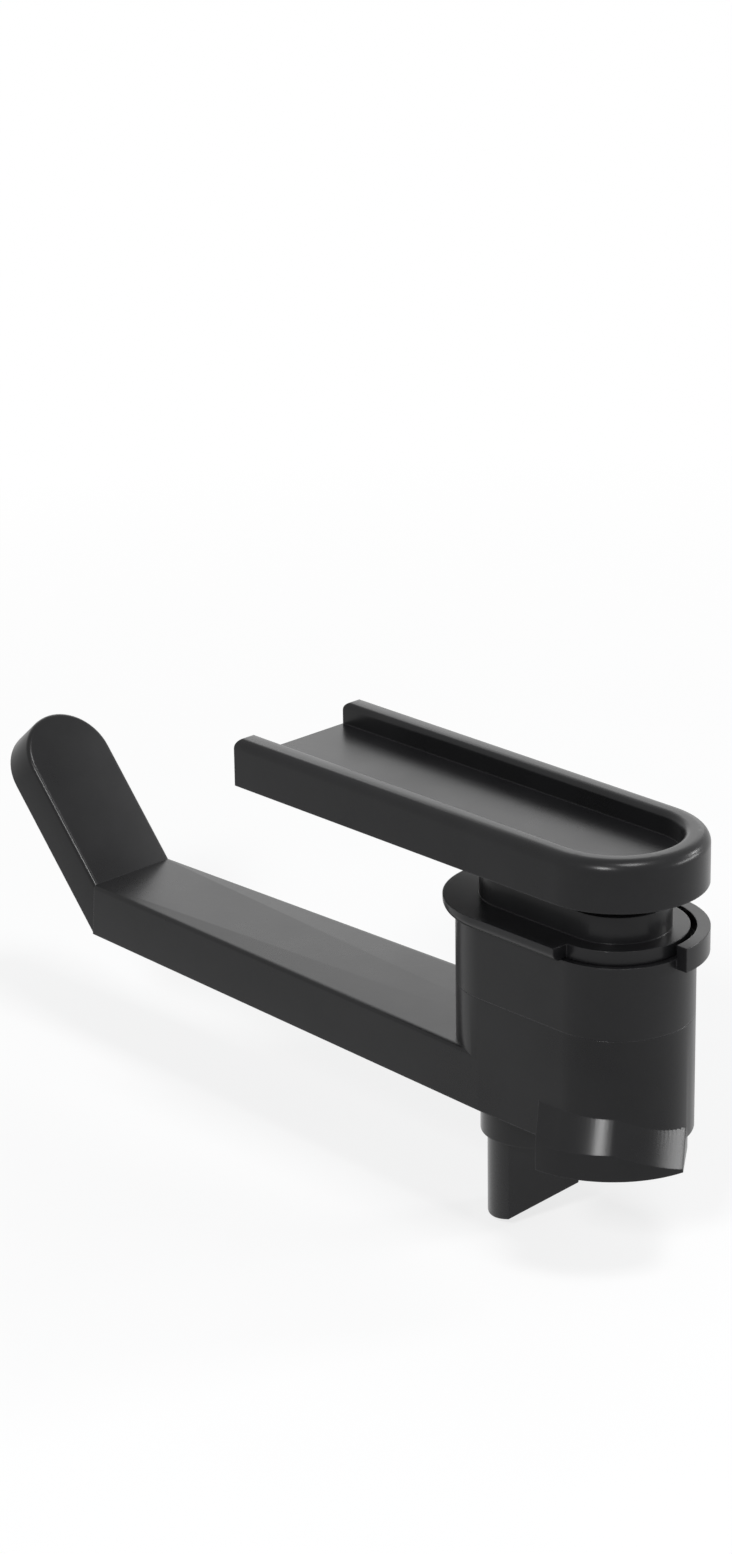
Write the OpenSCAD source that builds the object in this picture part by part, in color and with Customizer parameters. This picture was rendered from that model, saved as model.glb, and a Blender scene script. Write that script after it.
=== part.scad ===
// Hatch handle for a flush lid: a tray-shaped outer handle and a long inner lever share one
// square spindle that turns in a flanged base. A spring-loaded bolt beside the spindle locks it.
// The origin is where the spindle axis meets the inner face of the lid. +Z points outwards.

/* [Layout] */
// Distance between the spindle axis and the lock axis
axis_gap = 20; // [19.5:0.1:22]
// Thickness of the lid that the handle is clamped to
lid_t = 8.2; // [7.5:0.1:10]
// Radial clearance where a round part turns in a bore
run_gap = 0.05; // [0.02:0.01:0.1]
// Gap between faces that slide or nearly meet
face_gap = 0.1; // [0.05:0.01:0.15]

/* [Outer handle] */
// Width of the tray
tray_w = 31.7; // [30:0.1:36]
// Length of the tray from the spindle axis to its open end
tray_len = 80; // [70:1:110]
// Height of the tray
tray_h = 9.2; // [8.5:0.1:12]
// Thickness of the tray floor
tray_floor = 4.9; // [4:0.1:5.5]
// Thickness of the tray walls
tray_wall = 4.6; // [4:0.1:5.5]
// Radius on the outer top edge of the tray wall
rim_outer_r = 2.2; // [1:0.1:2.5]
// Radius on the inner top edge of the tray wall
rim_inner_r = 1.3; // [0.5:0.1:1.4]
// Radius on the wall ends at the open end
rim_end_r = 1.8; // [0.5:0.1:2.5]

/* [Spindle] */
// Diameter of the round part of the spindle
spindle_d = 14.8; // [14.4:0.1:14.9]
// Width across the four chamfer flats
spindle_chamfer_af = 14.45; // [14.1:0.05:14.6]
// Width across the four driving flats
spindle_af = 12.4; // [12:0.1:12.8]
// Length of the driving square
square_len = 16.4; // [14:0.1:17]
// Clearance between the driving square and its hole, on each flat
square_gap = 0.06; // [0.03:0.01:0.1]
// Diameter of the screw in the end of the spindle
end_screw_d = 5; // [4:0.5:6]
// Length of that screw under its head
end_screw_len = 16; // [14:1:18]

/* [Base] */
// Thickness of the flange
flange_t = 2.6; // [2.4:0.1:3]
// Radius of the flange at the lock end and along its sides
flange_r = 15.9; // [15.7:0.1:16.5]
// Radius of the flange round the spindle, inside the stop lip
flange_small_r = 12.55; // [12:0.05:12.8]
// Height of the boss that fills the cut-out in the lid
boss_h = 4.9; // [4:0.1:6]
// Radius of the boss round each axis
boss_r = 9.5; // [9.3:0.1:9.8]
// Diameter of the bore that the lock bolt enters
bolt_bore_d = 15; // [14.9:0.1:15.2]
// Radius on the flange's lower edge at the lock end and along its sides
flange_edge_r = 1.8; // [0.5:0.1:2.2]

/* [Spacer] */
// Height of the spacer block
spacer_h = 13.4; // [13.3:0.1:13.6]
// Radius of the spacer block and of the lever's head
head_r = 13.7; // [13.4:0.1:13.8]
// Diameter of the spindle hole in the spacer
spacer_bore_d = 15; // [15:0.1:15.4]
// Diameter of the lock hole in the spacer
spacer_lock_d = 15.7; // [15.6:0.1:16]
// Outer radius of the stop lip
lip_r = 16; // [15.6:0.1:16.4]
// Height of the stop lip above the spacer
lip_rise = 2.6; // [2:0.05:2.6]
// Depth of the stop lip below the top of the spacer
lip_drop = 1.8; // [1.2:0.1:2.5]
// Angle that the handle swings through
swing = 90; // [80:1:90]

/* [Inner lever] */
// Height of the lever's head
lever_head_h = 21.5; // [20:0.1:24]
// Distance from the top of the head down to the top of the arm
arm_drop = 11; // [9:0.1:12]
// Length from the lock axis to the bend
arm_len = 108.7; // [90:0.1:130]
// Width of the arm at the bend
arm_end_w = 19.2; // [17:0.1:22]
// Length of the grip from the bend to its round end
grip_len = 35.6; // [28:0.1:45]
// Thickness of the grip
grip_t = 7.7; // [6:0.1:9]
// Angle of the grip above the arm
grip_angle = 48.5; // [35:0.5:60]
// Radius on the upper edges of the arm and the grip
edge_r = 0.9; // [0.4:0.1:1.2]
// Outer radius of the cam tube round the lock axis
tube_r = 7.65; // [7.4:0.05:7.7]
// Radius of the bore for the lock
lock_bore_r = 5.6; // [5.4:0.05:5.6]
// Height of the cam tube
tube_h = 5.7; // [5.4:0.1:6]
// Distance past the lock axis at which the cam slope meets the head
cam_foot_x = 5.05; // [4.9:0.05:5.3]
// Distance behind the lock axis of the cam's crest
cam_crest_x = 2.9; // [2.6:0.1:3.2]
// Distance behind the lock axis at which the detent's floor begins
detent_x = 5.25; // [5:0.05:5.4]
// Height of the detent's floor above the head
detent_h = 4.25; // [4:0.05:4.4]
// Radius of the spring chamber
chamber_r = 9.8; // [9.7:0.1:10.2]
// Thickness of the ledge above the spring chamber
ledge_t = 4; // [3:0.1:5]
// Height of the locating lip at the arm end of the head
seat_lip_h = 2; // [1.5:0.1:2.5]
// Thickness of the locating lip
seat_lip_t = 2; // [1.5:0.1:2.5]
// Half of the angle that the locating lip spans
seat_lip_half = 30; // [20:1:40]
// Diameter of the locating pin
pin_d = 2; // [1.5:0.1:2.4]
// Height of the locating pin
pin_h = 2; // [1.5:0.1:2.5]
// Distance of the locating pin from the spindle axis
pin_x = 9.65; // [9.4:0.05:10.5]

/* [Claw] */
// Direction that the claw points in, seen from outside
claw_angle = -52; // [-60:1:-45]
// Half of the claw's width
claw_half_w = 12.7; // [11:0.1:13]
// Radius of the claw's outer edge
claw_r = 21; // [20:0.1:22]
// Distance by which the centre of that edge lies behind the spindle axis
claw_back = 4.1; // [3.5:0.05:4.5]
// Distance by which that centre lies to the side
claw_side = -1.3; // [-1.5:0.1:0]
// Depth of the claw's underside below the top of the head
claw_bottom = 25; // [24:0.1:26]
// Depth at which the claw's sloping face leaves the head
claw_root = 14.7; // [13:0.05:16]
// Depth of the claw's outer edge
claw_edge = 20; // [18:0.05:20]
// Fall of the lead-in ramp along the claw
claw_ramp = 4.4; // [3:0.05:4.6]
// Place where the lead-in ramp begins
claw_crease = 1.2; // [-2:0.1:4]
// Distance that the claw's foot reaches in under the head
claw_foot = 3.5; // [2:0.1:4]

/* [Lock] */
// Radius of the bolt head that enters the base
bolt_r = 7.3; // [7.2:0.05:7.4]
// Height of the bolt head
bolt_head_h = 5.5; // [5:0.1:6]
// Length of the bolt from its top to the foot of its body
bolt_len = 14.55; // [13:0.05:16]
// Radius of the bolt's body
bolt_body_r = 5.2; // [4.9:0.05:5.3]
// Distance from the bolt's top to the foot of its cam key
key_drop = 11.2; // [10.8:0.1:11.4]
// Half of the cam key's width
key_half_w = 3.1; // [2.6:0.1:3.2]
// Radius of the cam key's outer face
key_r = 7.25; // [6.9:0.05:7.3]
// Height of the locating nose below the bolt
nose_h = 2; // [1.5:0.1:2.5]
// Radius of the locating nose
nose_r = 3.45; // [3.2:0.05:3.6]
// Width of the nose's driving tabs
tab_w = 2.4; // [1.8:0.1:2.8]
// Radius of the plunger's tube
plunger_r = 5.2; // [5.1:0.05:5.3]
// Length of the plunger's tube
plunger_len = 18.95; // [17:0.05:20]
// Radius of the plunger's collar
collar_r = 9.45; // [9.2:0.05:9.6]
// Height of the plunger's collar
collar_h = 7; // [6:0.1:8]
// Radius of the turning blade
blade_r = 8.2; // [7.5:0.1:9]
// Distance from the lock axis to the blade's flat face
blade_flat = 4.6; // [3.5:0.1:6]
// Direction that the blade's flat face looks in
blade_angle = -22.5; // [-40:0.5:0]
// Length of the blade at the lock axis, below the collar
blade_len = 13.4; // [11:0.1:16]
// Slope of the blade's foot
blade_slope = 20; // [10:0.5:30]
// Direction in which the blade's foot rises
blade_rise_angle = 50; // [0:0.5:60]
// Height that the bolt rises to its raised seat
bolt_lift = 3.9; // [3.5:0.05:3.95]
// Diameter of the screw through the bolt
lock_screw_d = 4; // [3:0.5:4]
// Length of that screw with its head
lock_screw_len = 25; // [22:1:28]
// Diameter of that screw's countersunk head
lock_head_d = 7.9; // [6.5:0.1:8.2]
// Radius on the bolt's top edge
bolt_edge_r = 0.4; // [0.2:0.1:0.6]

/* [Spring] */
// Diameter of the spring wire
wire_d = 1.2; // [0.8:0.1:1.4]
// Outer radius of the spring
spring_r = 9.45; // [9.1:0.05:9.5]
// Number of turns
turns = 3.5; // [2.5:0.5:5]

/* [Hidden] */
$fn = 96;
eps = 0.01;
over = 1;
black = [0.09, 0.09, 0.095];
steel = [0.42, 0.43, 0.45];
dark_steel = [0.2, 0.2, 0.21];

// Levels, from the inner face of the lid
spacer_top = -flange_t - face_gap;
head_top = spacer_top - spacer_h;
head_bottom = head_top - lever_head_h;
arm_top = head_top - arm_drop;
tray_bottom = lid_t;
spindle_bottom = head_top - square_len;

// Heights of the lock in its low seat
cam_slope = tube_h / (cam_foot_x + cam_crest_x);
key_inner_x = sqrt(lock_bore_r * lock_bore_r - key_half_w * key_half_w);
cam_low = cam_slope * (cam_foot_x - key_inner_x);
bolt_top = head_top + cam_low + face_gap / 2 + key_drop;
bolt_foot = bolt_top - bolt_len;
collar_top = bolt_foot - plunger_len;
collar_bottom = collar_top - collar_h;
ledge_z = head_top - ledge_t;
pocket_r = bolt_bore_d / 2;
pocket_top = bolt_top + bolt_lift + face_gap;

// Sizes of the screws
lock_hole_r = lock_screw_d / 2 + 0.15;
lock_tap_r = lock_screw_d / 2 + 0.02;
tap_extra = 1.5;
recess_r = nose_r + 0.3;
recess_h = nose_h + 0.25;
slot_w = tab_w + 0.2;
washer_t = 1.5;
washer_r = 7.8;
washer_recess_r = washer_r + 0.3;
washer_recess_h = 3.2;
end_head_r = 0.9 * end_screw_d;
end_head_h = 0.6 * end_screw_d;
end_tap_r = end_screw_d / 2 + 0.02;
washer_bore_r = end_screw_d / 2 + 0.25;
washer_top = head_bottom + washer_recess_h;

module at_lock() { translate([-axis_gap, 0, 0]) children(); }

// Outline of equal circles round both axes
module oblong(r) {
    circle(r = r);
    at_lock() circle(r = r);
    translate([-axis_gap, -r]) square([axis_gap, 2 * r]);
}

// Pie slice from angle a to angle b, less than a half turn apart
module slice(a, b, r) {
    polygon([[0, 0], r * [cos(a), sin(a)], 1.5 * r * [cos((a + b) / 2), sin((a + b) / 2)],
             r * [cos(b), sin(b)]]);
}

// Section of the tray wall, with its outer face at radius r and both top edges rounded
module wall_section(r, wall, h) {
    translate([r - wall, 0]) square([wall, h - rim_outer_r]);
    translate([r - wall, 0]) square([wall - rim_outer_r, h - rim_inner_r]);
    translate([r - wall + rim_inner_r, 0]) square([wall - rim_inner_r - rim_outer_r, h]);
    translate([r - rim_outer_r, h - rim_outer_r]) circle(r = rim_outer_r);
    translate([r - wall + rim_inner_r, h - rim_inner_r]) circle(r = rim_inner_r);
}

// Square with its corners cut off by a larger square turned through 45 degrees
module chamfered_square(af, chamfer_af) {
    intersection() {
        square(af, center = true);
        rotate(45) square(chamfer_af, center = true);
    }
}

module tray() {
    half_w = tray_w / 2;
    translate([0, 0, tray_bottom]) intersection() {
        union() {
            cylinder(r = half_w - over, h = tray_floor);
            translate([-tray_len, -half_w + over, 0]) cube([tray_len, 2 * (half_w - over), tray_floor]);
            rotate([0, 0, -90]) rotate_extrude(angle = 180) wall_section(half_w, tray_wall, tray_h);
            for (side = [0, 1]) mirror([0, side, 0]) rotate([90, 0, -90])
                linear_extrude(tray_len) wall_section(half_w, tray_wall, tray_h);
        }
        rotate([90, 0, 0]) linear_extrude(2 * tray_w, center = true) side_view();
    }
}

// Side view of the tray, with the top corner at the open end rounded
module side_view() {
    translate([rim_end_r - tray_len, 0]) square([2 * tray_len, tray_h + over]);
    translate([-tray_len, -over]) square([2 * tray_len, tray_h + over - rim_end_r]);
    translate([rim_end_r - tray_len, tray_h - rim_end_r]) circle(r = rim_end_r);
}

module spindle() {
    round_bottom = spindle_bottom + square_len;
    difference() {
        intersection() {
            translate([0, 0, spindle_bottom])
                cylinder(d = spindle_d, h = tray_bottom - spindle_bottom + over);
            union() {
                translate([0, 0, round_bottom]) rotate(45)
                    translate([0, 0, (tray_bottom - round_bottom + over) / 2])
                        cube([spindle_chamfer_af, spindle_chamfer_af, tray_bottom - round_bottom + over],
                             center = true);
                translate([0, 0, spindle_bottom]) linear_extrude(square_len)
                    chamfered_square(spindle_af, spindle_chamfer_af);
            }
        }
        translate([0, 0, spindle_bottom - over]) cylinder(r = end_tap_r, h = end_screw_len + over);
    }
}

module outer_handle() {
    color(black) {
        tray();
        spindle();
    }
}

// Section of the flange's rounded lower edge, at its outer radius
module flange_edge() {
    intersection() {
        translate([flange_r - flange_edge_r, flange_edge_r]) circle(r = flange_edge_r);
        square([flange_r, flange_t]);
    }
}

module flange_plate() {
    intersection() {
        union() {
            linear_extrude(flange_t) oblong(flange_r - flange_edge_r);
            translate([0, 0, flange_edge_r]) linear_extrude(flange_t - flange_edge_r) oblong(flange_r);
            at_lock() rotate_extrude() flange_edge();
            for (side = [0, 1]) mirror([0, side, 0]) translate([-axis_gap, 0, 0])
                rotate([90, 0, 90]) linear_extrude(axis_gap) flange_edge();
        }
        translate([-axis_gap - 2 * flange_r, -2 * flange_r, 0])
            cube([axis_gap + 2 * flange_r, 4 * flange_r, flange_t]);
    }
    cylinder(r = flange_small_r, h = flange_t);
}

module base_flange() {
    color(black) difference() {
        union() {
            translate([0, 0, -flange_t]) flange_plate();
            translate([0, 0, -eps]) linear_extrude(boss_h + eps) oblong(boss_r);
        }
        translate([0, 0, -flange_t - over]) {
            cylinder(r = spindle_d / 2 + run_gap, h = flange_t + boss_h + 2 * over);
            at_lock() cylinder(d = bolt_bore_d, h = flange_t + boss_h + 2 * over);
        }
        // Pocket in the underside, over the bolt's place at the open end of the swing
        rotate(-swing) at_lock()
            translate([0, 0, -flange_t - over]) cylinder(r = pocket_r, h = flange_t + pocket_top + over);
    }
}

module stop_lip() {
    end_gap = face_gap / lip_r * 180 / PI;
    translate([0, 0, spacer_top]) intersection() {
        union() {
            difference() {
                translate([0, 0, -lip_drop]) cylinder(r = lip_r, h = lip_drop + lip_rise);
                translate([0, 0, -lip_drop - over]) cylinder(r = head_r, h = lip_drop + lip_rise + 2 * over);
            }
            difference() {
                translate([0, 0, -lip_drop]) cylinder(r = head_r + eps, h = lip_drop);
                translate([0, 0, -lip_drop - over]) cylinder(r = head_r - over, h = lip_drop + 2 * over);
            }
        }
        translate([0, 0, -lip_drop - over]) linear_extrude(lip_drop + lip_rise + 2 * over)
            slice(90 - swing + end_gap, 90 - end_gap, 2 * lip_r);
    }
}

module spacer_block() {
    color(black) difference() {
        union() {
            translate([0, 0, head_top]) linear_extrude(spacer_h) oblong(head_r);
            stop_lip();
        }
        translate([0, 0, head_top - over]) {
            cylinder(d = spacer_bore_d, h = spacer_h + 2 * over);
            at_lock() cylinder(d = spacer_lock_d, h = spacer_h + 2 * over);
            translate([pin_x, 0, 0]) cylinder(d = pin_d + 2 * run_gap, h = pin_h + face_gap + over);
        }
        // Notch for the lever's locating lip
        at_lock() translate([0, 0, head_top - over]) linear_extrude(seat_lip_h + face_gap + over)
            arc_band(head_r - seat_lip_t - face_gap, head_r + over, seat_lip_half + 1);
    }
}

// Flat band on the arm side, between two radii
module arc_band(inner_r, outer_r, half_angle) {
    intersection() {
        difference() {
            circle(r = outer_r);
            circle(r = inner_r);
        }
        slice(180 - half_angle, 180 + half_angle, 2 * outer_r);
    }
}

// Solid between an outline and the same outline drawn in by the edge radius, along a quarter circle
module soft_slab(h, r) {
    steps = 4;
    hull() {
        linear_extrude(eps) children();
        for (i = [0:steps]) translate([0, 0, h - r + r * sin(90 * i / steps) - eps])
            linear_extrude(eps) offset(delta = -r * (1 - cos(90 * i / steps))) children();
    }
}

// Arm seen from above, tangent to the head and narrower at the bend
module arm_outline() {
    tilt = asin((head_r - arm_end_w / 2) / arm_len);
    polygon([[-arm_len - grip_t, -arm_end_w / 2], [-arm_len, -arm_end_w / 2],
             [-head_r * sin(tilt), -head_r * cos(tilt)], [head_r / 2, -head_r * cos(tilt)],
             [head_r / 2, head_r * cos(tilt)], [-head_r * sin(tilt), head_r * cos(tilt)],
             [-arm_len, arm_end_w / 2], [-arm_len - grip_t, arm_end_w / 2]]);
}

module arm() {
    arm_h = lever_head_h - arm_drop;
    // At the bend the grip's lower face meets the arm's underside this far past the top corner
    foot = (grip_t - arm_h * cos(grip_angle)) / sin(grip_angle);
    at_lock() translate([0, 0, head_bottom]) intersection() {
        soft_slab(arm_h, edge_r) arm_outline();
        rotate([90, 0, 0]) linear_extrude(4 * head_r, center = true)
            polygon([[0, -over], [-arm_len - foot, 0], [-arm_len, arm_h], [-arm_len, arm_h + over],
                     [0, arm_h + over]]);
    }
}

// Grip seen square on, with its round end
module grip_outline() {
    end_r = arm_end_w / 2;
    translate([grip_len - end_r, 0]) circle(r = end_r, $fn = 64);
    translate([-2 * grip_t, -end_r]) square([grip_len - end_r + 2 * grip_t, arm_end_w]);
}

module grip() {
    arm_h = lever_head_h - arm_drop;
    at_lock() translate([-arm_len, 0, arm_top]) intersection() {
        rotate([0, -grip_angle, 180]) translate([0, 0, -grip_t]) soft_slab(grip_t, edge_r) grip_outline();
        translate([-2 * grip_len, -arm_end_w, -arm_h])
            cube([2 * grip_len + over, 2 * arm_end_w, 3 * grip_len]);
    }
}

module cam_tube() {
    at_lock() translate([0, 0, head_top - eps]) difference() {
        cylinder(r = tube_r, h = tube_h + eps);
        // The cam slope falls from the crest towards the spindle; the detent lies behind the crest
        rotate([90, 0, 0]) linear_extrude(4 * tube_r, center = true)
            polygon([[-2 * tube_r, detent_h + eps], [-detent_x, detent_h + eps],
                     [-cam_crest_x, tube_h + eps], [cam_foot_x, eps], [2 * tube_r, eps],
                     [2 * tube_r, 2 * tube_h], [-2 * tube_r, 2 * tube_h]]);
    }
}

// Distance of the head's wall from the spindle axis in the claw's direction, at a place across the claw
function wall_at(t) =
    let (round_wall = sqrt(max(0, head_r * head_r - t * t)),
         flat_wall = (head_r + t * cos(claw_angle)) / -sin(claw_angle),
         x = -t * sin(claw_angle) + round_wall * cos(claw_angle))
    x < 0 ? flat_wall : round_wall;

// Distance of the claw's outer edge, at a place across the claw
function edge_at(t) = sqrt(claw_r * claw_r - pow(t - claw_side, 2)) - claw_back;

// Fall of the lead-in ramp, at a place across the claw
function ramp_at(t) = claw_ramp * max(0, t - claw_crease) / (claw_half_w - claw_crease);

module claw() {
    parts = 18;
    sides = 4;
    left = [for (i = [0:parts - 1]) -claw_half_w + (claw_crease + claw_half_w) * i / parts];
    right = [for (i = [0:parts]) claw_crease + (claw_half_w - claw_crease) * i / parts];
    places = concat(left, right);
    last = len(places) - 1;
    points = [for (t = places) let (
            rise = (claw_edge - claw_root) / (edge_at(t) - wall_at(t)),
            root = -claw_root - ramp_at(t) + rise * claw_foot) each [
        [wall_at(t) - claw_foot, t, -claw_bottom],
        [edge_at(t), t, -claw_bottom],
        [edge_at(t), t, -claw_edge - ramp_at(t)],
        [wall_at(t) - claw_foot, t, root]]];
    faces = concat(
        [[for (k = [sides - 1:-1:0]) k]],
        [[for (k = [0:sides - 1]) last * sides + k]],
        [for (i = [0:last - 1]) for (k = [0:sides - 1]) each [
            [i * sides + k, (i + 1) * sides + (k + 1) % sides, (i + 1) * sides + k],
            [i * sides + k, i * sides + (k + 1) % sides, (i + 1) * sides + (k + 1) % sides]]]);
    translate([0, 0, head_top]) rotate(claw_angle) polyhedron(points, faces, convexity = 4);
}

module inner_lever() {
    color(black) difference() {
        union() {
            translate([0, 0, head_bottom]) linear_extrude(lever_head_h) oblong(head_r);
            arm();
            grip();
            cam_tube();
            claw();
            at_lock() translate([0, 0, head_top - eps]) linear_extrude(seat_lip_h + eps)
                arc_band(head_r - seat_lip_t, head_r, seat_lip_half);
            translate([pin_x, 0, head_top - eps]) cylinder(d = pin_d, h = pin_h + eps);
        }
        translate([0, 0, head_bottom - over]) linear_extrude(lever_head_h + 2 * over)
            chamfered_square(spindle_af + 2 * square_gap, spindle_chamfer_af + 2 * square_gap);
        translate([0, 0, head_bottom - over]) cylinder(r = washer_recess_r, h = washer_recess_h + over);
        at_lock() {
            translate([0, 0, head_bottom - over])
                cylinder(r = chamber_r, h = ledge_z - head_bottom + over);
            translate([0, 0, head_bottom]) cylinder(r = lock_bore_r, h = lever_head_h + tube_h + over);
        }
    }
}

module lock_cap() {
    cone_h = lock_head_d / 2 + 0.05 - lock_hole_r;
    color(black) at_lock() difference() {
        union() {
            translate([0, 0, bolt_top - bolt_head_h]) rotate_extrude() {
                square([bolt_r - bolt_edge_r, bolt_head_h]);
                square([bolt_r, bolt_head_h - bolt_edge_r]);
                translate([bolt_r - bolt_edge_r, bolt_head_h - bolt_edge_r]) circle(r = bolt_edge_r);
            }
            translate([0, 0, bolt_foot]) cylinder(r = bolt_body_r, h = bolt_len - bolt_head_h + eps);
            translate([0, 0, bolt_foot - nose_h]) cylinder(r = nose_r, h = nose_h + eps);
            translate([0, 0, bolt_foot - nose_h]) intersection() {
                cylinder(r = bolt_body_r, h = nose_h + eps);
                translate([-tab_w / 2, -bolt_r, 0]) cube([tab_w, 2 * bolt_r, nose_h + eps]);
            }
            translate([0, 0, bolt_top - key_drop]) intersection() {
                cylinder(r = key_r, h = key_drop - bolt_head_h + eps);
                translate([0, -key_half_w, 0]) cube([key_r, 2 * key_half_w, key_drop]);
            }
        }
        translate([0, 0, bolt_foot - nose_h - over])
            cylinder(r = lock_hole_r, h = bolt_len + nose_h + 2 * over);
        translate([0, 0, bolt_top - cone_h]) rotate_extrude()
            polygon([[0, -over], [lock_hole_r - eps, -over], [lock_hole_r, 0],
                     [lock_hole_r + cone_h, cone_h], [lock_hole_r + cone_h, cone_h + over],
                     [0, cone_h + over]]);
    }
}

module lock_plunger() {
    color(black) at_lock() difference() {
        union() {
            translate([0, 0, collar_top - eps]) cylinder(r = plunger_r, h = plunger_len + eps);
            translate([0, 0, collar_bottom]) cylinder(r = collar_r, h = collar_h);
            blade();
        }
        translate([0, 0, bolt_top - lock_screw_len - tap_extra])
            cylinder(r = lock_tap_r, h = lock_screw_len + tap_extra);
        translate([0, 0, bolt_foot - recess_h]) {
            cylinder(r = recess_r, h = recess_h + over);
            translate([-slot_w / 2, -2 * plunger_r, 0]) cube([slot_w, 4 * plunger_r, recess_h + over]);
        }
    }
}

// Half-round blade, turned by hand, with a slanting foot
module blade() {
    intersection() {
        translate([0, 0, collar_bottom - 2 * blade_len]) cylinder(r = blade_r, h = 2 * blade_len + eps);
        rotate(blade_angle) translate([-2 * blade_r, -2 * blade_r, collar_bottom - 2 * blade_len])
            cube([2 * blade_r + blade_flat, 4 * blade_r, 3 * blade_len]);
        translate([0, 0, collar_bottom - blade_len]) rotate(blade_rise_angle) rotate([0, -blade_slope, 0])
            translate([-3 * blade_r, -3 * blade_r, 0]) cube([6 * blade_r, 6 * blade_r, 3 * blade_len]);
    }
}

// Corner k of the wire's section at step i along the coil
function wire_point(i, k, steps, sides, coil_r, low, rise) =
    let (a = 360 * turns * i / steps, b = 360 * k / sides, r = coil_r + wire_d / 2 * cos(b))
    [r * cos(a), r * sin(a), low + rise * i / steps + wire_d / 2 * sin(b)];

module lock_spring() {
    steps = round(20 * turns);
    sides = 8;
    coil_r = spring_r - wire_d / 2;
    low = collar_top + wire_d / 2 + face_gap;
    rise = ledge_z - wire_d / 2 - face_gap - low;
    points = [for (i = [0:steps]) for (k = [0:sides - 1]) wire_point(i, k, steps, sides, coil_r, low, rise)];
    faces = concat(
        [[for (k = [sides - 1:-1:0]) k]],
        [[for (k = [0:sides - 1]) steps * sides + k]],
        [for (i = [0:steps - 1]) for (k = [0:sides - 1]) each [
            [i * sides + k, (i + 1) * sides + (k + 1) % sides, (i + 1) * sides + k],
            [i * sides + k, i * sides + (k + 1) % sides, (i + 1) * sides + (k + 1) % sides]]]);
    color(dark_steel) at_lock() polyhedron(points, faces, convexity = 8);
}

module lock_screw() {
    cone_h = lock_head_d / 2 - lock_screw_d / 2;
    color(steel) at_lock() difference() {
        union() {
            translate([0, 0, bolt_top - lock_screw_len])
                cylinder(d = lock_screw_d, h = lock_screw_len - cone_h);
            translate([0, 0, bolt_top - cone_h - eps])
                cylinder(r1 = lock_screw_d / 2, r2 = lock_head_d / 2, h = cone_h + eps);
        }
        hex_socket(lock_screw_d * 0.625, bolt_top);
    }
}

// Socket for a hexagon key, open upwards at level z
module hex_socket(af, z) {
    translate([0, 0, z - 0.8 * af]) cylinder(d = af / cos(30), h = 0.8 * af + over, $fn = 6);
}

module spindle_screw() {
    head_z = washer_top - washer_t - end_head_h;
    color(steel) difference() {
        union() {
            translate([0, 0, head_z]) cylinder(r = end_head_r, h = end_head_h);
            translate([0, 0, head_z + end_head_h - eps]) cylinder(d = end_screw_d, h = end_screw_len + eps);
        }
        mirror([0, 0, 1]) hex_socket(0.8 * end_screw_d, -head_z);
    }
}

module spindle_washer() {
    color(steel) translate([0, 0, washer_top - washer_t]) difference() {
        cylinder(r = washer_r, h = washer_t - eps);
        translate([0, 0, -over]) cylinder(r = washer_bore_r, h = washer_t + 2 * over);
    }
}

outer_handle();
base_flange();
spacer_block();
inner_lever();
lock_cap();
lock_plunger();
lock_spring();
lock_screw();
spindle_screw();
spindle_washer();
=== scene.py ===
"""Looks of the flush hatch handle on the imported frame: finishes, shading, floor, light, camera."""
import math
import bpy
from mathutils import Matrix, Vector


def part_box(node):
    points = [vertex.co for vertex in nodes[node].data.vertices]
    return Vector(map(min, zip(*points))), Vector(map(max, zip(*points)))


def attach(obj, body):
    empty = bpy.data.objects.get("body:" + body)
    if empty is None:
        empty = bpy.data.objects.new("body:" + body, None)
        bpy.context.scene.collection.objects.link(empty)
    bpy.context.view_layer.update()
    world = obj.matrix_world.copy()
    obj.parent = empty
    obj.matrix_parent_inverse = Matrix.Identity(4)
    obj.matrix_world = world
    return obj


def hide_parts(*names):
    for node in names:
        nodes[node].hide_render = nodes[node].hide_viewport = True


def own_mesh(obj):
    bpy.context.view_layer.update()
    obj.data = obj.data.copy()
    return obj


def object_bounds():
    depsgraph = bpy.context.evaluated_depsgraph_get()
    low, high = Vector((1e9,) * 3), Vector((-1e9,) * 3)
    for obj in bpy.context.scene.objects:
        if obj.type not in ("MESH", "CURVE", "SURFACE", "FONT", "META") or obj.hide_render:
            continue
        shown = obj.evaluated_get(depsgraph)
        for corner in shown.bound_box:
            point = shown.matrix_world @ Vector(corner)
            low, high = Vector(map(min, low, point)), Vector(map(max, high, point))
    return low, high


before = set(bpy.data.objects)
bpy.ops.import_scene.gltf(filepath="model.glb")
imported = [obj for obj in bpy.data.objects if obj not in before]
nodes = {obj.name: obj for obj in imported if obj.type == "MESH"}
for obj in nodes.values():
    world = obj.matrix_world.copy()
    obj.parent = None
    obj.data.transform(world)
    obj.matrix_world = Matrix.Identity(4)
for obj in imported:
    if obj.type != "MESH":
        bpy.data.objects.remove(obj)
cad_low, cad_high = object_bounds()
scene = bpy.context.scene

MM = 0.001
SHARP_EDGE = math.radians(28)


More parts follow.
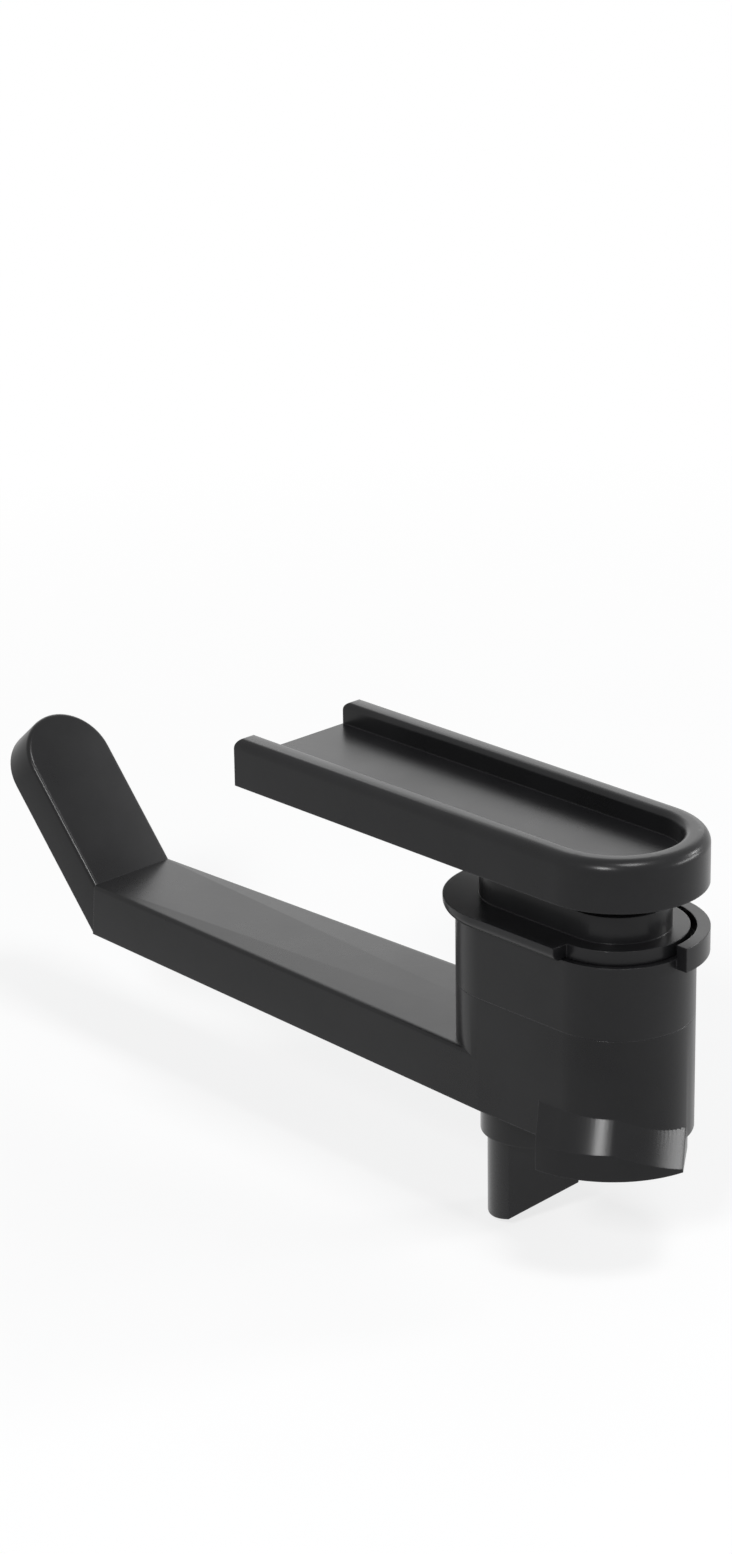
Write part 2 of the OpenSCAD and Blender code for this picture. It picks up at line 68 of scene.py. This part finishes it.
# ---------------------------------------------------------------- node helpers
class Nodes:
    """A node tree with one output node, and short calls for making and joining its nodes."""

    prefix = "ShaderNode"

    def __init__(self, tree, output):
        self.t = tree
        self.t.nodes.clear()
        self.out = self.node(output)

    def node(self, kind, **values):
        n = self.t.nodes.new(self.prefix + kind)
        for key, value in values.items():
            if hasattr(n, key):
                setattr(n, key, value)
            else:
                n.inputs[key.replace("_", " ")].default_value = value
        return n

    def link(self, a, b):
        self.t.links.new(a, b)

    def noise(self, coords, scale, detail=2.0, rough=0.5):
        n = self.node("TexNoise", Scale=scale, Detail=detail, Roughness=rough)
        self.link(coords, n.inputs["Vector"])
        return n.outputs["Fac"]

    def spread(self, value, low, high, start=0.3, end=0.7):
        """Maps start to low and end to high."""
        n = self.node("MapRange", From_Min=start, From_Max=end, To_Min=low, To_Max=high)
        self.link(value, n.inputs["Value"])
        return n.outputs["Result"]

    def math(self, op, a, b=None):
        n = self.node("Math", operation=op)
        for socket, value in zip(n.inputs, (a, b)):
            if value is None:
                continue
            if isinstance(value, (int, float)):
                socket.default_value = value
            else:
                self.link(value, socket)
        return n.outputs["Value"]

    def vector(self, op, a, b=None):
        n = self.node("VectorMath", operation=op)
        self.link(a, n.inputs[0])
        if isinstance(b, tuple):
            n.inputs[1].default_value = b
        elif b is not None:
            self.link(b, n.inputs[1])
        return n.outputs["Value" if op in ("LENGTH", "DOT_PRODUCT") else "Vector"]

    def mix_colour(self, fac, a, b):
        n = self.node("Mix", data_type="RGBA")
        colours = [s for s in n.inputs if s.type == "RGBA"]
        self.link(fac, n.inputs["Factor"])
        for socket, value in zip(colours, (a, b)):
            if isinstance(value, tuple):
                socket.default_value = (*value, 1.0)
            else:
                self.link(value, socket)
        return [s for s in n.outputs if s.type == "RGBA"][0]

    def mix_shader(self, fac, a, b):
        n = self.node("MixShader")
        self.link(fac, n.inputs["Fac"])
        self.link(a, n.inputs[1])
        self.link(b, n.inputs[2])
        return n.outputs["Shader"]

    def edges(self, radius):
        """The rounded normal of a bevel, and a value of 1 on sharp edges and 0 on flat faces."""
        bevel = self.node("Bevel", samples=4, Radius=radius)
        geometry = self.node("NewGeometry")
        flatness = self.vector("DOT_PRODUCT", bevel.outputs["Normal"], geometry.outputs["Normal"])
        return bevel.outputs["Normal"], self.spread(flatness, 1.0, 0.0, 0.80, 0.99)

    def background_ray(self):
        """1 on rays that should see the white background, 0 on rays that light the object."""
        ray = self.node("LightPath")
        seen = self.math("MAXIMUM", ray.outputs["Is Camera Ray"], ray.outputs["Is Glossy Ray"])
        return self.math("MAXIMUM", seen, ray.outputs["Is Transmission Ray"])


class Material(Nodes):
    """A new material's node tree."""

    def __init__(self, name):
        self.mat = bpy.data.materials.new(name)
        self.mat.use_nodes = True
        super().__init__(self.mat.node_tree, "OutputMaterial")

    def skin(self, shader, height, strength, distance, normal=None):
        """Puts a bump over the shader and the shader into the material's output."""
        bump = self.node("Bump", Strength=strength, Distance=distance)
        self.link(height, bump.inputs["Height"])
        if normal is not None:
            self.link(normal, bump.inputs["Normal"])
        self.link(bump.outputs["Normal"], shader.inputs["Normal"])
        self.link(shader.outputs["BSDF"], self.out.inputs["Surface"])
        return self.mat


class Group(Nodes):
    """A new geometry-nodes group with one geometry in and one out."""

    prefix = ""

    def __init__(self, name):
        tree = bpy.data.node_groups.new(name, "GeometryNodeTree")
        for way in ("INPUT", "OUTPUT"):
            tree.interface.new_socket("Geometry", in_out=way, socket_type="NodeSocketGeometry")
        super().__init__(tree, "NodeGroupOutput")
        self.start = self.node("NodeGroupInput")

    def compare(self, value, operation, limit):
        n = self.node("FunctionNodeCompare", data_type="FLOAT", operation=operation)
        n.inputs[1].default_value = limit
        self.link(value, n.inputs[0])
        return n.outputs["Result"]

    def logic(self, operation, a, b):
        n = self.node("FunctionNodeBooleanMath", operation=operation)
        self.link(a, n.inputs[0])
        self.link(b, n.inputs[1])
        return n.outputs[0]

    def between(self, value, least, most):
        return self.logic("AND", self.compare(value, "GREATER_THAN", least),
                          self.compare(value, "LESS_THAN", most))

    def on_faces(self, value, data_type):
        n = self.node("GeometryNodeFieldOnDomain", domain="FACE", data_type=data_type)
        self.link(value, n.inputs[0])
        return n.outputs[0]

    def sharp(self):
        """True on edges that bend by more than SHARP_EDGE."""
        bend = self.node("GeometryNodeInputMeshEdgeAngle")
        return self.compare(bend.outputs["Unsigned Angle"], "GREATER_THAN", SHARP_EDGE)


# ---------------------------------------------------------------- materials
def coating(name, base, light, rough, coat, coat_rough, level, grain):
    """Stoved black paint on cast metal: orange peel, cloudy gloss, and sharp edges painted lighter,
    partly for the thin coat there and partly as a painted highlight.
    """
    t = Material(name)
    shader = t.node("BsdfPrincipled")
    at = t.node("TexCoord").outputs["Object"]
    peel = t.noise(at, 620.0, 3.0, 0.45)
    fine = t.noise(at, 4200.0, 4.0, 0.6)
    cloud = t.noise(at, 55.0, 4.0, 0.55)
    rounded, edge = t.edges(0.35 * MM)
    speck, worn_and_highlight = (tuple(share * c for c in light) for share in (2.4, 3.2))
    body = t.mix_colour(t.spread(cloud, 0.0, 1.0), base, light)
    body = t.mix_colour(t.spread(fine, 0.0, 0.35, 0.60, 0.74), body, speck)
    # Sharp edges are painted lighter: partly the thin coat there, partly a painted highlight.
    body = t.mix_colour(t.math("MULTIPLY", edge, 0.45), body, worn_and_highlight)
    t.link(body, shader.inputs["Base Color"])
    gloss = t.math("ADD", t.spread(cloud, rough - 0.035, rough + 0.045),
                   t.spread(fine, -0.02, 0.03))
    gloss = t.math("SUBTRACT", gloss, t.math("MULTIPLY", edge, 0.08))
    t.link(gloss, shader.inputs["Roughness"])
    shader.inputs["IOR"].default_value = 1.5
    shader.inputs["Specular IOR Level"].default_value = level
    shader.inputs["Coat Weight"].default_value = coat
    shader.inputs["Coat Roughness"].default_value = coat_rough
    height = t.math("ADD", t.math("MULTIPLY", peel, 0.7), t.math("MULTIPLY", fine, 0.3))
    return t.skin(shader, height, grain, 0.04 * MM, rounded)


def turned_steel(name, base, dark, rough, centre, ring):
    """Machined steel with lathe rings round an upright axis, and darker worn spots."""
    t = Material(name)
    shader = t.node("BsdfPrincipled")
    at = t.node("TexCoord").outputs["Object"]
    from_axis = t.vector("SUBTRACT", at, (*centre, 0.0))
    radius = t.vector("LENGTH", t.vector("MULTIPLY", from_axis, (1.0, 1.0, 0.0)))
    rings = t.math("SINE", t.math("MULTIPLY", radius, 2.0 * math.pi / ring))
    cloud = t.noise(at, 260.0, 4.0, 0.6)
    fine = t.noise(at, 5200.0, 3.0, 0.6)
    rounded, edge = t.edges(0.18 * MM)
    worn_and_highlight = tuple(min(1.0, 1.5 * c) for c in base)
    body = t.mix_colour(t.spread(cloud, 0.0, 1.0, 0.32, 0.68), dark, base)
    # Sharp edges are painted lighter: partly worn steel, partly a painted highlight.
    body = t.mix_colour(t.math("MULTIPLY", edge, 0.5), body, worn_and_highlight)
    t.link(body, shader.inputs["Base Color"])
    shader.inputs["Metallic"].default_value = 1.0
    gloss = t.math("ADD", t.spread(cloud, rough - 0.05, rough + 0.06),
                   t.spread(fine, -0.03, 0.03))
    t.link(gloss, shader.inputs["Roughness"])
    height = t.math("ADD", rings, t.math("MULTIPLY", fine, 0.6))
    return t.skin(shader, height, 0.35, 0.02 * MM, rounded)


def drawn_wire(name):
    """Oil-blackened spring wire: dark metal with pale speckles on its skin."""
    t = Material(name)
    shader = t.node("BsdfPrincipled")
    at = t.node("TexCoord").outputs["Object"]
    scale = t.node("Mapping", Scale=(1.0, 1.0, 3.0))
    t.link(at, scale.inputs["Vector"])
    speckle = t.noise(scale.outputs["Vector"], 1900.0, 3.0, 0.65)
    cloud = t.noise(at, 180.0, 3.0, 0.5)
    body = t.mix_colour(t.spread(cloud, 0.0, 1.0), (0.045, 0.045, 0.048), (0.10, 0.10, 0.105))
    body = t.mix_colour(t.spread(speckle, 0.0, 0.8, 0.54, 0.66), body, (0.34, 0.34, 0.35))
    t.link(body, shader.inputs["Base Color"])
    shader.inputs["Metallic"].default_value = 0.85
    t.link(t.spread(speckle, 0.42, 0.26), shader.inputs["Roughness"])
    return t.skin(shader, speckle, 0.5, 0.03 * MM)


SPINDLE_AXIS = (0.0, 0.0)
LOCK_AXIS = (-20.0 * MM, 0.0)
handle_coat = coating("handle_coating", (0.0050, 0.0050, 0.0055), (0.0085, 0.0085, 0.0092),
                      rough=0.30, coat=0.20, coat_rough=0.21, level=0.13, grain=0.20)
base_coat = coating("base_coating", (0.0055, 0.0055, 0.0060), (0.0092, 0.0092, 0.0100),
                    rough=0.33, coat=0.12, coat_rough=0.16, level=0.18, grain=0.24)
lock_coat = coating("lock_coating", (0.0048, 0.0048, 0.0053), (0.0080, 0.0080, 0.0088),
                    rough=0.23, coat=0.22, coat_rough=0.08, level=0.20, grain=0.14)
wire = drawn_wire("spring_wire")
lock_steel = turned_steel("lock_screw_steel", (0.56, 0.57, 0.58), (0.36, 0.365, 0.375),
                          rough=0.30, centre=LOCK_AXIS, ring=0.22 * MM)
end_steel = turned_steel("end_screw_steel", (0.54, 0.55, 0.56), (0.34, 0.345, 0.355),
                         rough=0.32, centre=SPINDLE_AXIS, ring=0.30 * MM)
washer_steel = turned_steel("washer_steel", (0.60, 0.60, 0.60), (0.42, 0.42, 0.43),
                            rough=0.26, centre=SPINDLE_AXIS, ring=0.25 * MM)

finish_of = {
    "outer_handle": handle_coat, "inner_lever": handle_coat,
    "base_flange": base_coat, "spacer_block": base_coat,
    "lock_cap": lock_coat, "lock_plunger": lock_coat,
    "lock_screw": lock_steel,
    "spindle_screw": end_steel, "spindle_washer": washer_steel,
}
for name, mat in finish_of.items():
    for s in nodes[name].material_slots:
        s.material = mat


# ---------------------------------------------------------------- shading
def smooth_group():
    """Geometry nodes that shade every face smooth, but keep edges over SHARP_EDGE sharp."""
    g = Group("smooth_by_angle")
    drop = g.node("GeometryNodeRemoveAttribute", Name="custom_normal")
    faces = g.node("GeometryNodeSetShadeSmooth", domain="FACE", Shade_Smooth=True)
    creases = g.node("GeometryNodeSetShadeSmooth", domain="EDGE", Shade_Smooth=False)
    g.link(g.start.outputs[0], drop.inputs["Geometry"])
    g.link(drop.outputs["Geometry"], faces.inputs["Geometry"])
    g.link(faces.outputs["Geometry"], creases.inputs["Geometry"])
    g.link(g.sharp(), creases.inputs["Selection"])
    g.link(creases.outputs["Geometry"], g.out.inputs[0])
    return g.t


def ramp_group(toward, reach, low, high, slopes=(0.2, 0.8), blurs=14):
    """Geometry nodes that even out the shading of the claw's lead-in ramp.

    The ramp's mesh is cut into narrow strips. It is split off along its rim, and its points take
    blurred normals. It is found by its height from low to high, by its slope, which is its
    normal's rise, and by lying further than reach along the direction toward."""
    g = Group("even_ramp")
    place = g.node("GeometryNodeInputPosition").outputs[0]
    normal = g.node("GeometryNodeInputNormal").outputs[0]
    height, slope = g.node("ShaderNodeSeparateXYZ"), g.node("ShaderNodeSeparateXYZ")
    g.link(place, height.inputs[0])
    g.link(normal, slope.inputs[0])
    along = g.node("ShaderNodeVectorMath", operation="DOT_PRODUCT")
    along.inputs[1].default_value = toward
    g.link(place, along.inputs[0])
    in_band = g.logic("AND", g.between(height.outputs["Z"], low, high),
                      g.between(slope.outputs["Z"], *slopes))
    beyond = g.compare(along.outputs["Value"], "GREATER_THAN", reach)
    ramp = g.on_faces(g.logic("AND", in_band, beyond), "BOOLEAN")
    # On an edge between the ramp and its neighbours, the mean of the two faces is a half.
    rim = g.between(g.on_faces(ramp, "FLOAT"), 0.2, 0.8)

    split = g.node("GeometryNodeSplitEdges")
    g.link(g.start.outputs[0], split.inputs["Mesh"])
    g.link(g.logic("OR", g.sharp(), rim), split.inputs["Selection"])
    blur = g.node("GeometryNodeBlurAttribute", data_type="FLOAT_VECTOR", Iterations=blurs)
    g.link(normal, [s for s in blur.inputs if s.type == "VECTOR"][0])
    blurred = g.on_faces([s for s in blur.outputs if s.enabled][0], "FLOAT_VECTOR")
    pick = g.node("GeometryNodeSwitch", input_type="VECTOR")
    g.link(ramp, pick.inputs["Switch"])
    g.link(normal, pick.inputs["False"])
    g.link(blurred, pick.inputs["True"])
    put = g.node("GeometryNodeSetMeshNormal", mode="FREE", domain="POINT")
    g.link(split.outputs["Mesh"], put.inputs["Mesh"])
    g.link(pick.outputs[0], [s for s in put.inputs if s.type == "VECTOR"][0])
    g.link(put.outputs[0], g.out.inputs[0])
    return g.t


def add_nodes(o, name, group):
    o.modifiers.new(name, "NODES").node_group = group


smooth = smooth_group()
for o in nodes.values():
    o.modifiers.new("weld", "WELD").merge_threshold = 0.002 * MM
    add_nodes(o, "smooth", smooth)
claw_angle = math.radians(-52)
claw_way = (math.cos(claw_angle), math.sin(claw_angle), 0.0)
even_ramp = ramp_group(claw_way, reach=7.0 * MM, low=-41.5 * MM, high=-30.0 * MM)
add_nodes(nodes["inner_lever"], "ramp", even_ramp)


# ---------------------------------------------------------------- spring
def coil_spring(name, axis_x, coil_r, wire_r, foot, top, turns):
    """Open-wound spring wire from foot to top, its two cut ends slightly chamfered."""
    per_turn, sides = 48, 14
    steps = round(per_turn * turns)
    chamfer = 0.12
    stations = [(0.0, 1.0 - chamfer)]
    stations += [(i / steps, 1.0) for i in range(steps + 1)]
    stations += [(1.0, 1.0 - chamfer)]
    end_turn = chamfer * wire_r / coil_r
    points, faces = [], []
    for n, (part, girth) in enumerate(stations):
        a = 2.0 * math.pi * turns * part
        if n == 1:
            a += end_turn
        if n == len(stations) - 2:
            a -= end_turn
        level = foot + wire_r + (top - foot - 2.0 * wire_r) * part
        for k in range(sides):
            b = 2.0 * math.pi * k / sides
            r = coil_r + girth * wire_r * math.cos(b)
            rise = girth * wire_r * math.sin(b)
            points.append((axis_x + r * math.cos(a), r * math.sin(a), level + rise))
    for n in range(len(stations) - 1):
        here, after = n * sides, (n + 1) * sides
        for k in range(sides):
            k_next = (k + 1) % sides
            faces.append((here + k, after + k, after + k_next, here + k_next))
    last = (len(stations) - 1) * sides
    faces.append(tuple(range(sides)))
    faces.append(tuple(last + k for k in reversed(range(sides))))
    mesh = bpy.data.meshes.new(name)
    mesh.from_pydata(points, [], faces)
    mesh.validate()
    mesh.shade_smooth()
    coil = bpy.data.objects.new(name, mesh)
    scene.collection.objects.link(coil)
    return coil


WIRE_R = 0.6 * MM
SPRING_TURNS = 3.5
spring_low, spring_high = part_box("lock_spring")
coil_r = (spring_high.x - spring_low.x) / 2.0 - WIRE_R
axis_x = (spring_high.x + spring_low.x) / 2.0
spring = coil_spring("spring_coil", axis_x, coil_r, WIRE_R, spring_low.z, spring_high.z,
                     SPRING_TURNS)
spring.data.materials.append(wire)
add_nodes(spring, "smooth", smooth)
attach(spring, "lock_carrier")
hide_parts("lock_spring")
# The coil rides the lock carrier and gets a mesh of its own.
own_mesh(spring)


# ---------------------------------------------------------------- floor and background
FLOOR_GAP = 0.6 * MM
FLOOR_HALF = 6.0
floor_z = cad_low.z - FLOOR_GAP
corner_signs = ((-1, -1), (1, -1), (1, 1), (-1, 1))
corners = [(FLOOR_HALF * x, FLOOR_HALF * y, floor_z) for x, y in corner_signs]
mesh = bpy.data.meshes.new("floor")
mesh.from_pydata(corners, [], [(0, 1, 2, 3)])
floor = bpy.data.objects.new("floor", mesh)
scene.collection.objects.link(floor)

# To the camera the floor is part diffuse near the object, so that a soft shadow shows, and all
# white glow further out. From below it is clear.
t = Material("pale_floor")
at = t.node("TexCoord").outputs["Object"]
diffuse = t.node("BsdfDiffuse")
t.link(t.mix_colour(t.noise(at, 30.0), (0.88, 0.88, 0.88), (0.92, 0.92, 0.92)),
       diffuse.inputs["Color"])
glow = t.node("Emission", Strength=1.0)
glow_share = t.spread(t.vector("LENGTH", at), 0.74, 1.0, 0.16, 0.50)
top_side = t.mix_shader(t.math("MULTIPLY", t.background_ray(), glow_share),
                        diffuse.outputs["BSDF"], glow.outputs["Emission"])
clear = t.node("BsdfTransparent")
from_below = t.node("NewGeometry").outputs["Backfacing"]
t.link(t.mix_shader(from_below, top_side, clear.outputs["BSDF"]), t.out.inputs["Surface"])
mesh.materials.append(t.mat)

world = bpy.data.worlds.new("studio")
scene.world = world
world.use_nodes = True
w = Nodes(world.node_tree, "OutputWorld")
fill = w.node("Background", Color=(0.95, 0.97, 1.0, 1.0), Strength=0.25)
white = w.node("Background", Color=(1.0, 1.0, 1.0, 1.0), Strength=1.0)
w.link(w.mix_shader(w.background_ray(), fill.outputs[0], white.outputs[0]), w.out.inputs["Surface"])


# ---------------------------------------------------------------- lamps
LIT_POINT = Vector((-0.05, 0.0, -0.015))


def softbox(name, place, size, watts):
    """A rectangular area lamp that points at LIT_POINT."""
    data = bpy.data.lights.new(name, "AREA")
    data.shape = "RECTANGLE"
    data.size, data.size_y = size
    data.energy = watts
    lamp = bpy.data.objects.new(name, data)
    lamp.location = place
    lamp.rotation_mode = "QUATERNION"
    lamp.rotation_quaternion = (LIT_POINT - Vector(place)).to_track_quat("-Z", "Y")
    scene.collection.objects.link(lamp)


softbox("back_softbox", (-1.25, 1.20, 0.62), (1.5, 0.9), 4.0)
softbox("side_softbox", (0.92, 1.04, 0.19), (0.90, 0.20), 8.0)
softbox("top_softbox", (0.42, -0.08, 1.20), (0.34, 0.34), 7.0)
softbox("rim_light", (0.47, 1.12, 0.53), (0.30, 0.22), 4.0)
softbox("front_key", (0.50, -1.15, 0.95), (0.30, 0.30), 12.0)


# ---------------------------------------------------------------- camera
# Place, direction and lens are the ones that fit the photo's perspective.
CAMERA_PLACE = Vector((0.44642, -0.48042, 0.27664))
CAMERA_AHEAD = Vector((-0.67934, 0.64178, -0.35583))
CAMERA_RIGHT = Vector((0.69062, 0.72308, -0.01437))
ahead = CAMERA_AHEAD.normalized()
right = (CAMERA_RIGHT - ahead * CAMERA_RIGHT.dot(ahead)).normalized()
above = right.cross(ahead)
data = bpy.data.cameras.new("camera")
data.sensor_fit = "AUTO"
data.sensor_width = 36.0
data.lens = 95.97
data.clip_start, data.clip_end = 0.01, 50.0
camera = bpy.data.objects.new("camera", data)
turn = Matrix((right, above, -ahead)).transposed().to_4x4()
camera.matrix_world = Matrix.Translation(CAMERA_PLACE) @ turn
scene.collection.objects.link(camera)
scene.camera = camera
scene.view_settings.view_transform = "Standard"
